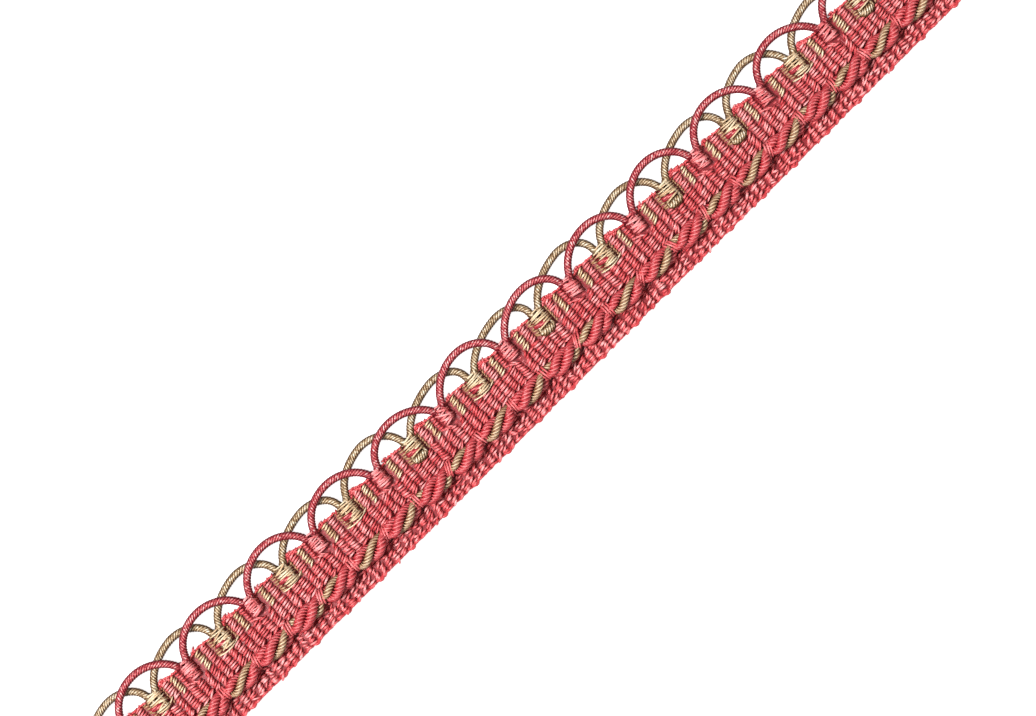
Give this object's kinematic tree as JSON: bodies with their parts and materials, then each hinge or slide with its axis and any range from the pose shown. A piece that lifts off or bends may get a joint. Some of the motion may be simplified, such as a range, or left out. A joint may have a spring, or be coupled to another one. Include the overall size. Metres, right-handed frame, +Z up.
{
  "type": "looped gimp braid trimming",
  "caption": "Straight cut length of woven gimp braid with overlapping scalloped loop cords along one edge and a twisted cord couched beside its foot tape.",
  "frame": {"origin": "middle of the braid's length and overall width, on the flat underside that lies on the surface", "axes": "+X along the braid, +Y across it towards the loops, +Z up out of the face"},
  "size_m": [0.18, 0.016, 0.0038],
  "materials": {
    "rose_weave": "silky woven thread, ribbed",
    "rose_gimp": "silky thread wound round a core",
    "sand_gimp": "silky thread wound round a core",
    "twisted_cord": "silky plied thread, two rose plies and one sand ply"
  },
  "bodies": {
    "root": {"ground_braid": "rose_weave", "pink_loop_cord": "rose_gimp", "beige_loop_cord": "sand_gimp", "twisted_cord": "twisted_cord"}
  },
  "joints": []
}
